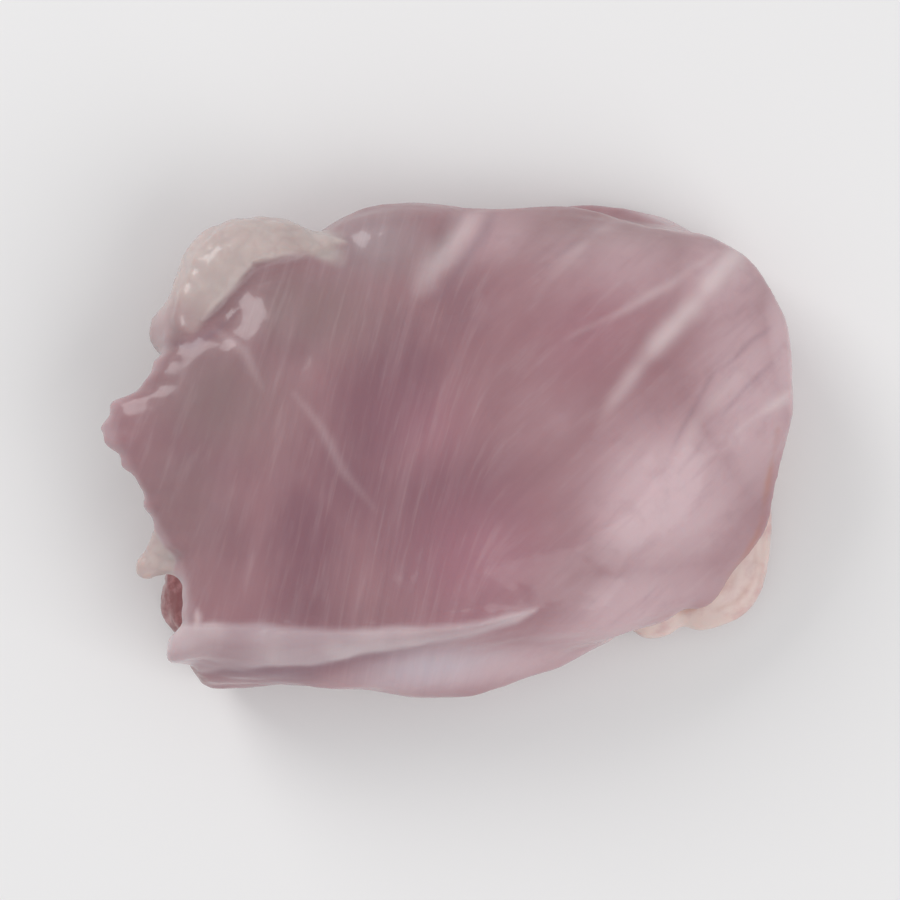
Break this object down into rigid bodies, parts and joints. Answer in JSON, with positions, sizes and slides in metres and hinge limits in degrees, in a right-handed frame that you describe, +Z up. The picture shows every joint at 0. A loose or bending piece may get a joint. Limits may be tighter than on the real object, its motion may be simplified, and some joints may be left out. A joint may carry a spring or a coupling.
{
  "type": "skinless chicken thigh",
  "caption": "Raw boneless, skinless chicken thigh, folded smooth side up with its sides and one end tucked under and the other end open, showing inner meat and pale fat.",
  "frame": {"origin": "under the middle of the piece, on the surface that it lies on", "axes": "+X runs along the piece from its open end to its tucked end, +Y across it from the roll with the fat ridge to the side with the fat pad, and +Z up out of the smooth outer side"},
  "size_m": [0.0986, 0.0713, 0.0286],
  "materials": {
    "flesh": "moist raw poultry"
  },
  "bodies": {
    "root": {"thigh": "flesh"}
  },
  "joints": []
}
